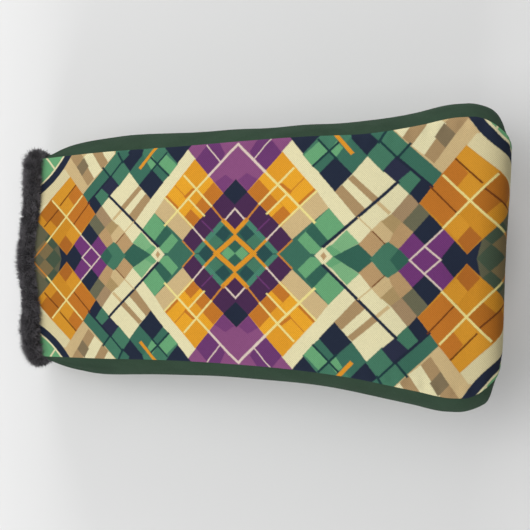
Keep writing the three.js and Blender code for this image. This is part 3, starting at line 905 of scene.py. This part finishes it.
def even_angles(count):
    """Angles that are evenly spaced along the mouth's outline."""
    fine = np.linspace(0, math.tau, 4001)
    fine = fine - np.sin(4 * fine) / 4  # closer together where y or z changes fast with the angle
    along = run_along(*mouth_point(fine, 0))
    return np.interp(np.arange(count) / count * along[-1], along, fine)


def ring_grid(x, half_x, inset, radial, around, section):
    """A ring of the mouth's outline with an oval section, as a grid of points."""
    angle = even_angles(around)[:, None]
    turn = np.linspace(0, math.tau, section, endpoint=False)[None, :]
    y, z = mouth_point(angle, inset - radial * np.cos(turn))
    return settle(np.stack([x + smooth_through(LIP_SWAY, y) + half_x * np.sin(turn), y, z], axis=-1))


def ring_piece(name, points, material):
    """A closed ring from a grid that wraps both ways."""
    around, section = points.shape[:2]
    faces = []
    for i in range(around):
        for j in range(section):
            k, m = (i + 1) % around, (j + 1) % section
            faces.append((i * section + j, i * section + m, k * section + m, k * section + j))
    piece = new_piece(name, points.reshape(-1, 3), faces, material)
    map_round(piece, np.arange(around) * 0.3 * MM, section)
    return piece


def tube(name, path, radius, material, sides=8):
    """A closed round thread along a path."""
    tangent = unit(np.gradient(path, axis=0))
    side = unit(np.cross(tangent, [0.3, 0.2, 0.93]))  # no thread runs near this direction
    up = np.cross(side, tangent)
    turn = np.linspace(0, math.tau, sides, endpoint=False)
    arm = np.cos(turn)[:, None] * side[:, None] + np.sin(turn)[:, None] * up[:, None]
    points = path[:, None] + radius * arm
    rows = len(path)
    faces = grid_faces(rows, sides, wrap=True)
    faces += [tuple(range(sides)), tuple(range(rows * sides - 1, (rows - 1) * sides - 1, -1))]
    piece = new_piece(name, points.reshape(-1, 3), faces, material)
    map_round(piece, np.concatenate([[0], np.cumsum(np.linalg.norm(np.diff(path, axis=0), axis=1))]), sides)
    return piece


def map_round(piece, along, sides):
    """The weave map of a ring or a tube: the distance along it, and the share of a turn round it."""
    i, j = np.meshgrid(along, np.arange(sides) / sides, indexing="ij")
    add_uv(piece, "weave", np.stack([i, j], axis=-1).reshape(-1, 2))


def strand_piece(name, roots, heading, length, thickness, tone, rng):
    """A closed, bent and pointed strand from each root, with its own heading, size and tone."""
    count = len(roots)
    helper = rng.normal(size=(count, 3))
    side = unit(np.cross(heading, helper))
    other = np.cross(heading, side)
    bend = helper * (0.16 * length)[:, None]
    rings = []
    for reach, wide in ((-0.08, 1.0), (0.55, 0.75)):
        centre = roots + heading * (reach * length)[:, None] + bend * reach * abs(reach)
        for k in range(3):
            angle = math.tau * k / 3
            arm = side * math.cos(angle) + other * math.sin(angle)
            rings.append(centre + arm * (wide * thickness)[:, None])
    rings.append(roots + heading * length[:, None] + bend)
    verts = np.stack(rings, axis=1).reshape(-1, 3)
    pattern = [(0, 2, 1), (0, 1, 4, 3), (1, 2, 5, 4), (2, 0, 3, 5), (3, 4, 6), (4, 5, 6), (5, 3, 6)]
    faces = [tuple(7 * i + v for v in face) for i in range(count) for face in pattern]
    piece = new_piece(name, verts, faces, MATERIALS["fur"], False)
    reach = np.tile([0, 0, 0, 0.6, 0.6, 0.6, 1.0], count)
    shade = np.repeat(0.7 * tone + 0.3 * rng.random(count), 7)
    for attribute, values in (("reach", reach), ("shade", shade)):
        layer = piece.data.attributes.new(attribute, "FLOAT", "POINT")
        layer.data.foreach_set("value", values)
    return piece


def tufted(points, rng, low, high):
    """Three smooth random fields over points, with wavelengths from low to high."""
    fields = []
    for _ in range(3):
        total = 0
        for _ in range(5):
            way = rng.normal(size=3)
            way *= math.tau / rng.uniform(low, high) / np.linalg.norm(way)
            total = total + np.sin(points @ way + rng.uniform(0, math.tau))
        fields.append(total / 2.2)
    return np.stack(fields, axis=-1)


def lip():
    """The rolled lip: a plush ring, and its fur in four quarters."""
    body = ring_grid(LIP_X, LIP_HALF_X, LIP_INSET, LIP_RADIAL, *LIP_GRID)
    piece = ring_piece("lip backing", body, MATERIALS["lip"])
    clear_floor(piece)
    dress(piece, "mouth_lip")
    rng = np.random.default_rng(5)
    around = even_angles(4000)
    for quarter, name in enumerate(("upper left", "upper right", "lower right", "lower left")):
        low = quarter * math.pi / 2
        near = around[(around >= low) & (around < low + math.pi / 2)]
        angle = near[rng.integers(0, len(near), STRANDS)]
        turn = rng.uniform(0, math.tau, STRANDS)
        y, z = mouth_point(angle, LIP_INSET - LIP_RADIAL * np.cos(turn))
        roots = np.stack([LIP_X + smooth_through(LIP_SWAY, y) + LIP_HALF_X * np.sin(turn), y, z], axis=-1)
        y0, z0 = mouth_point(angle, LIP_INSET)
        outward = unit(np.stack([0 * y, y - y0, z - z0], axis=-1))
        heading = outward * np.abs(np.cos(turn))[:, None] + np.array([1, 0, 0]) * np.sin(turn)[:, None]
        heading = heading + FUR_STRAY * rng.normal(size=(STRANDS, 3))
        heading = unit(heading + FUR_TUFTING * tufted(roots, rng, *TUFT_SIZE))
        lumps = FUR_LUMPS * tufted(roots, rng, *LUMP_SIZE)[:, 0]
        clipped = 1 - FUR_CLIPPED * np.maximum(np.sin(turn), 0)
        length = rng.uniform(*FUR_LENGTH, STRANDS) * (1 + lumps) * clipped * MM
        roots[:, 2] = np.maximum(roots[:, 2], FUR_LOW)
        thickness = rng.uniform(*FUR_THICKNESS, STRANDS) * MM
        tone = np.clip(0.5 + FUR_TONES * tufted(roots, rng, *TONE_SIZE)[:, 0], 0, 1)
        piece = strand_piece(f"{name} fur", settle(roots), heading, length, thickness, tone, rng)
        clear_floor(piece)
        dress(piece, "mouth_lip")


def clear_floor(piece):
    """Keep a piece's vertices above the floor."""
    points = np.empty(len(piece.data.vertices) * 3)
    piece.data.vertices.foreach_get("co", points)
    points[2::3] = np.maximum(points[2::3], LOWEST)
    piece.data.vertices.foreach_set("co", points)


def elastics():
    """A band behind each gusset at the mouth, with small gathers across it."""
    rows, columns = ELASTIC_GRID
    x = np.linspace(*ELASTIC_X, rows)[:, None]
    for name, hand in (("left", 1), ("right", -1)):
        share = np.linspace(0, 1, columns)[None, :]
        z = blend(back_z(x) + ELASTIC_EDGE, front_z(x) - ELASTIC_EDGE, share)
        gathers = 0.4 * MM * (1 + np.sin(math.tau * z / (5 * MM)))
        y = gusset_out(hand, x + 0 * z, z) - ELASTIC_DEPTH - gathers
        outer = np.stack([x + 0 * z, hand * y, z], axis=-1)
        inner = outer - np.array([0, hand * ELASTIC_CLOTH, 0])
        maps = {"weave": np.stack([x + 0 * z, z], axis=-1)}
        piece = layer_piece(f"{name} elastic", settle(outer), settle(inner), MATERIALS["elastic"], maps)
        dress(piece, f"{name}_mouth_elastic")


def threads():
    """The threads of the four long seams, of the closed end and of the mouth."""
    for side, sign in (("front", 1), ("back", -1)):
        line = seam_line(sign, THREAD_POINTS, HEM_X + THREAD_GAP, THREAD_GAP)
        x, z = line["x"] - line["nx"] * THREAD_DEPTH, line["z"] - line["nz"] * THREAD_DEPTH
        for name, hand in (("left", 1), ("right", -1)):
            path = settle(np.stack([x, hand * (line["width"] - THREAD_INSET), z], axis=-1))
            piece = tube(f"{side} {name} thread", path, THREAD_R, MATERIALS["thread"])
            dress(piece, f"{side}_{name}_seam_thread")
    y = np.linspace(-1, 1, END_THREAD_POINTS) * (half_width(END_X) - END_THREAD_INSET)
    path = np.stack([0 * y + END_X + END_DOME - THREAD_DEPTH, y, 0 * y + END_MID_Z], axis=-1)
    piece = tube("end thread", settle(path), THREAD_R, MATERIALS["thread"])
    dress(piece, "end_seam_thread")
    section = MOUTH_THREAD_R, MOUTH_THREAD_INSET, MOUTH_THREAD_R
    ring = ring_grid(MOUTH_THREAD_X, *section, *MOUTH_THREAD_GRID)
    piece = ring_piece("mouth thread", ring, MATERIALS["dark thread"])
    dress(piece, "mouth_seam_thread")


camera()
studio()
panels()
gussets()
lip()
elastics()
threads()
